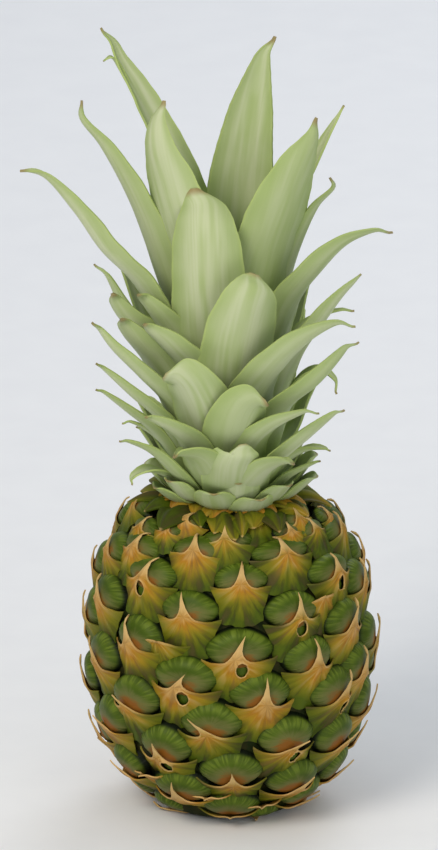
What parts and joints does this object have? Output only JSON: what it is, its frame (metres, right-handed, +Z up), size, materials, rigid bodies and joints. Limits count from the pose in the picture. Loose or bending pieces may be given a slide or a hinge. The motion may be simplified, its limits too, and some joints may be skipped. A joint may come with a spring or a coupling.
{
  "type": "pineapple",
  "caption": "Ripe pineapple standing upright on its cut stem end, with a spiralled skin of eyes and spined bracts and a leafy crown.",
  "frame": {"origin": "centre of the cut stem's bottom face, on the surface that the fruit stands on", "axes": "+Z up along the fruit to the crown; -Y towards the viewer, +X to the viewer's right"},
  "size_m": [0.1663, 0.1424, 0.3574],
  "materials": {
    "fruit_skin": "waxy skin, green eyes with orange and tan bracts",
    "cut_fibre": "dry cut fibre",
    "young_leaf": "waxy leaf, paler at the root",
    "leaf_green": "waxy grey-green leaf with dry tan tip"
  },
  "bodies": {
    "root": {"fruit": "fruit_skin", "cut_stem": "cut_fibre", "crown_stem": "young_leaf", "crown_leaf_01": "leaf_green", "crown_leaf_02": "leaf_green", "crown_leaf_03": "leaf_green", "crown_leaf_04": "leaf_green", "crown_leaf_05": "leaf_green", "crown_leaf_06": "leaf_green", "crown_leaf_07": "leaf_green", "crown_leaf_08": "leaf_green", "crown_leaf_09": "leaf_green", "crown_leaf_10": "leaf_green", "crown_leaf_11": "leaf_green", "crown_leaf_12": "leaf_green", "crown_leaf_13": "leaf_green", "crown_leaf_14": "leaf_green", "crown_leaf_15": "leaf_green", "crown_leaf_16": "leaf_green", "crown_leaf_17": "leaf_green", "crown_leaf_18": "leaf_green", "crown_leaf_19": "leaf_green", "crown_leaf_20": "leaf_green", "crown_leaf_21": "leaf_green", "crown_leaf_22": "leaf_green", "crown_leaf_23": "leaf_green", "crown_leaf_24": "leaf_green", "crown_leaf_25": "leaf_green", "crown_leaf_26": "leaf_green", "crown_leaf_27": "leaf_green", "crown_leaf_28": "leaf_green", "crown_leaf_29": "leaf_green", "crown_leaf_30": "leaf_green", "crown_leaf_31": "leaf_green", "crown_leaf_32": "leaf_green", "crown_leaf_33": "leaf_green", "crown_leaf_34": "leaf_green", "crown_leaf_35": "leaf_green", "crown_leaf_36": "leaf_green"}
  },
  "joints": []
}
